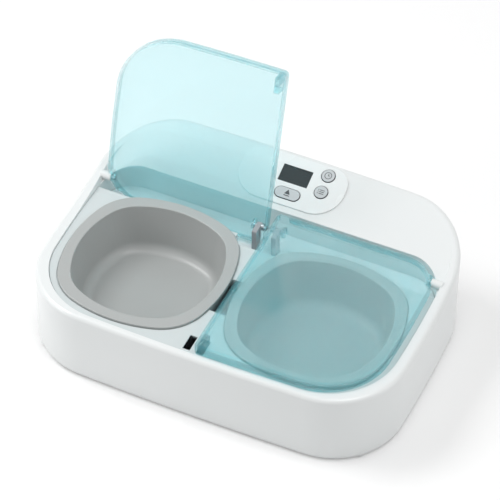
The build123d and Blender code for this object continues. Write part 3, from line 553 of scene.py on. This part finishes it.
@dataclass(frozen=True)
class KeyMarks:
    """Pictograms let into the caps of the three keys.

    Attributes:
        plane: The plane that the keys lie on.
        cap_rise: Height of the caps' tops over the plane.
        depth: How far a mark reaches down into its cap.
        proud: How far it stands out of the cap.
        edge_width: Width of the bevel around a mark.
        edge_segments: Number of faces across that bevel.
        clock_place: Place of the clock key on the plane.
        clock_radii: Outer and inner radius of the clock face's ring.
        clock_hands: The clock's hands.
        menu_place: Place of the menu key on the plane.
        menu_rows: Heights of the list's rows.
        menu_line: Width, height and X of a row's line.
        menu_dot: Width, height and X of a row's dot.
        open_place: Place of the open key on the plane.
        arrow_radius: Radius of the circle through the arrow's corners.
        arrow_place: Centre of that circle.
        arrow_base: The bar under the arrow.
        ring_vertices: Number of points around a ring.
        corner_share: Cut of a bar's corners, as a share of its smaller side.
        tip_share: Cut of a triangle's corners, as a share of its radius.
        corner_segments: Number of edges around a corner.
    """

    plane: PanelPlane = PanelPlane()
    cap_rise: float = 0.0025
    depth: float = 0.0002
    proud: float = 0.00006
    edge_width: float = 0.00004
    edge_segments: int = 2
    clock_place: Place = (0.029, 0.0148)
    clock_radii: Span = (0.0033, 0.00275)
    clock_hands: tuple[Bar, ...] = (
        Bar(0.0006, 0.0020, (0.0, 0.0008)),
        Bar(0.0017, 0.0006, (0.0006, 0.0)),
    )
    menu_place: Place = (0.029, -0.0018)
    menu_rows: tuple[float, ...] = (-0.0017, 0.0, 0.0017)
    menu_line: tuple[float, float, float] = (0.0044, 0.00065, 0.0006)
    menu_dot: tuple[float, float, float] = (0.0008, 0.00065, -0.0027)
    open_place: Place = (0.0016, -0.0128)
    arrow_radius: float = 0.0031
    arrow_place: Place = (0.0, 0.0007)
    arrow_base: Bar = Bar(0.0052, 0.0009, (0.0, -0.0022))
    ring_vertices: int = 56
    corner_share: float = 0.32
    tip_share: float = 0.16
    corner_segments: int = 4

    def build(self) -> None:
        """Make the marks of all keys."""
        clock = [self._ring(*self.clock_radii), *map(self._bar, self.clock_hands)]
        self._finish(clock, "clock_key_mark", self.clock_place, Body.CLOCK_KEY)
        rows = [
            self._bar(Bar(width, height, (x, row)))
            for width, height, x in (self.menu_line, self.menu_dot)
            for row in self.menu_rows
        ]
        self._finish(rows, "menu_key_mark", self.menu_place, Body.MENU_KEY)
        arrow = [self._triangle(self.arrow_radius, self.arrow_place), self._bar(self.arrow_base)]
        self._finish(arrow, "open_key_mark", self.open_place, Body.OPEN_KEY)

    def _ring(self, outer: float, inner: float) -> bpy.types.Object:
        """Make a flat ring about the origin.

        Args:
            outer: Outer radius.
            inner: Inner radius.

        Returns:
            The flat ring.
        """
        deselect_all()
        bpy.ops.mesh.primitive_circle_add(vertices=self.ring_vertices, radius=outer)
        ring = bpy.context.object
        share = inner / outer
        with whole_mesh_in_edit_mode():
            bpy.ops.mesh.extrude_edges_move()
            bpy.ops.transform.resize(value=(share, share, 1.0))
        return ring

    def _bar(self, bar: Bar) -> bpy.types.Object:
        """Make a flat bar with round corners.

        Args:
            bar: Its size and place.

        Returns:
            The flat bar.
        """
        deselect_all()
        bpy.ops.mesh.primitive_plane_add(size=1.0, location=(*bar.place, 0.0))
        flat = bpy.context.object
        flat.scale = (bar.width, bar.height, 1.0)
        self._round_corners(min(bar.width, bar.height) * self.corner_share)
        return flat

    def _triangle(self, radius: float, place: Place) -> bpy.types.Object:
        """Make a flat triangle that points up the slope, with round corners.

        Args:
            radius: Radius of the circle through its corners.
            place: Centre of that circle.

        Returns:
            The flat triangle.
        """
        deselect_all()
        bpy.ops.mesh.primitive_circle_add(
            vertices=3, radius=radius, fill_type="NGON", location=(*place, 0.0)
        )
        self._round_corners(radius * self.tip_share)
        return bpy.context.object

    def _round_corners(self, cut: float) -> None:
        """Fix the active flat shape's place and size, and round its corners.

        Args:
            cut: How far from a corner its rounding starts.
        """
        bpy.ops.object.transform_apply(location=True, rotation=True, scale=True)
        with whole_mesh_in_edit_mode():
            bpy.ops.mesh.bevel(offset=cut, segments=self.corner_segments, affect="VERTICES")

    def _finish(
        self, flats: list[bpy.types.Object], name: str, place: Place, body: Body
    ) -> None:
        """Join flat shapes into one mark, give it its thickness and lay it on its key.

        Args:
            flats: The flat shapes.
            name: Name of the mark.
            place: Place of the key on the plane.
            body: The body that the mark rides on.
        """
        deselect_all()
        for flat in flats:
            flat.select_set(True)
        mark = flats[0]
        bpy.context.view_layer.objects.active = mark
        bpy.ops.object.join()
        mark.name = name
        thick = mark.modifiers.new("thickness", "SOLIDIFY")
        thick.thickness = self.depth + self.proud
        thick.offset = 0.0
        edge = mark.modifiers.new("edge", "BEVEL")
        edge.width = self.edge_width
        edge.segments = self.edge_segments
        apply_modifiers(mark)
        middle = self.cap_rise + (self.proud - self.depth) / 2
        mark.data.transform(self.plane.matrix(place, middle))
        with whole_mesh_in_edit_mode():
            bpy.ops.mesh.normals_make_consistent(inside=False)
        mark.data.materials.clear()
        mark.data.materials.append(Finish.MARK.value.material())
        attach(mark, body.value)
        LOG.info("made %s", name)


@dataclass(frozen=True)
class Lamp:
    """A square soft lamp.

    Attributes:
        name: Name of the lamp.
        place: Where the lamp stands.
        size: Side of the lamp.
        power: Power in watts.
    """

    name: str
    place: tuple[float, float, float]
    size: float
    power: float

    def build(self, target: Vector) -> None:
        """Add the lamp.

        Args:
            target: The point that it faces.
        """
        data = bpy.data.lights.new(self.name, "AREA")
        data.shape = "SQUARE"
        data.size = self.size
        data.energy = self.power
        lamp = bpy.data.objects.new(self.name, data)
        bpy.context.scene.collection.objects.link(lamp)
        lamp.location = self.place
        towards = target - Vector(self.place)
        lamp.rotation_euler = towards.to_track_quat("-Z", "Y").to_euler()


@dataclass(frozen=True)
class Studio:
    """Pale floor, soft lamps, world and the camera at the photograph's angle.

    Attributes:
        azimuth: Camera azimuth in degrees, from the front towards the object's right.
        elevation: Camera elevation in degrees.
        roll: Camera roll in degrees.
        distance: Distance of the camera from the origin along the view.
        offset: Sideways and upward offset of the camera in its own plane.
        lens: Focal length in millimetres.
        sensor: Width of the sensor in millimetres.
        clip_end: Distance up to which the camera sees.
        floor_size: Side of the floor.
        floor_tone: Grey of the floor, linear.
        floor_roughness: Roughness of the floor.
        glow_span: Distances from the origin between which the near glow becomes the far one.
        glow: Light that the floor adds, near and far, to what camera, gloss and glass see of it.
        world_levels: Strength of the world for light, and for camera, gloss and glass.
        lamp_target: The point that all lamps face.
        lamps: Large soft lamps from above and the left, a small low one and one from the right.
    """

    azimuth: float = 24.31
    elevation: float = 45.77
    roll: float = 0.56
    distance: float = 2.4815
    offset: tuple[float, float] = (0.00237, 0.06411)
    lens: float = 204.8
    sensor: float = 36.0
    clip_end: float = 20.0
    floor_size: float = 12.0
    floor_tone: float = 0.85
    floor_roughness: float = 0.9
    glow_span: Span = (0.5, 2.6)
    glow: Span = (0.13, 0.6)
    world_levels: Span = (0.46, 1.0)
    lamp_target: tuple[float, float, float] = (0.0, 0.0, 0.06)
    lamps: tuple[Lamp, ...] = (
        Lamp("top_lamp", (0.5, -0.1, 2.35), 1.2, 15.5),
        Lamp("key_lamp", (-1.35, -0.15, 1.9), 0.9, 19.0),
        Lamp("left_lamp", (-0.85, -0.6, 0.45), 0.45, 1.8),
        Lamp("right_lamp", (1.9, 0.2, 1.0), 1.2, 5.5),
    )

    def build(self) -> None:
        """Make the floor, the lamps, the world and the camera."""
        self._floor()
        for lamp in self.lamps:
            lamp.build(Vector(self.lamp_target))
        self._world()
        self._camera()

    def _floor(self) -> None:
        """Make the wide pale floor, which takes the object's shadow and is white far away."""
        deselect_all()
        bpy.ops.mesh.primitive_plane_add(size=self.floor_size, location=(0, 0, 0))
        floor = bpy.context.object
        floor.name = "floor"
        material = bpy.data.materials.new("Floor")
        material.use_nodes = True
        tree = material.node_tree
        shader = tree.nodes["Principled BSDF"].inputs
        shader["Base Color"].default_value = (*[self.floor_tone] * 3, 1.0)
        shader["Roughness"].default_value = self.floor_roughness
        shader["Emission Color"].default_value = (1, 1, 1, 1)
        place = tree.nodes.new("ShaderNodeTexCoord")
        away = tree.nodes.new("ShaderNodeVectorMath")
        away.operation = "LENGTH"
        tree.links.new(place.outputs["Object"], away.inputs[0])
        level = ramp(tree, away.outputs["Value"], self.glow_span, self.glow)
        glow = math_node(tree, "MULTIPLY", sight_mask(tree), level)
        tree.links.new(glow, shader["Emission Strength"])
        floor.data.materials.append(material)

    def _world(self) -> None:
        """Make the even pale world, white to the camera, in gloss and through glass."""
        world = bpy.data.worlds.new("Studio")
        bpy.context.scene.world = world
        world.use_nodes = True
        tree = world.node_tree
        shade = tree.nodes["Background"].inputs
        shade["Color"].default_value = (1, 1, 1, 1)
        level = ramp(tree, sight_mask(tree), (0.0, 1.0), self.world_levels)
        tree.links.new(level, shade["Strength"])

    def _camera(self) -> None:
        """Place the camera so that the object fills the frame as in the photograph."""
        a, e, r = (math.radians(value) for value in (self.azimuth, self.elevation, self.roll))
        back = Vector((math.sin(a) * math.cos(e), -math.cos(a) * math.cos(e), math.sin(e)))
        level_right = Vector((math.cos(a), math.sin(a), 0.0))
        level_up = back.cross(level_right)
        right = math.cos(r) * level_right + math.sin(r) * level_up
        up = math.cos(r) * level_up - math.sin(r) * level_right
        data = bpy.data.cameras.new("camera")
        data.sensor_width = self.sensor
        data.lens = self.lens
        data.clip_end = self.clip_end
        camera = bpy.data.objects.new("camera", data)
        bpy.context.scene.collection.objects.link(camera)
        place = back * self.distance + right * self.offset[0] + up * self.offset[1]
        turn = Matrix((right, up, back)).transposed().to_4x4()
        camera.matrix_world = Matrix.Translation(place) @ turn
        bpy.context.scene.camera = camera


def main() -> None:
    """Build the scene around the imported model."""
    logging.basicConfig(level=logging.INFO, format="%(message)s")
    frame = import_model()
    PackedModel(frame).dress()
    KeyMarks().build()
    Studio().build()
    bpy.context.scene.view_settings.view_transform = "Standard"


if __name__ == "__main__":
    main()
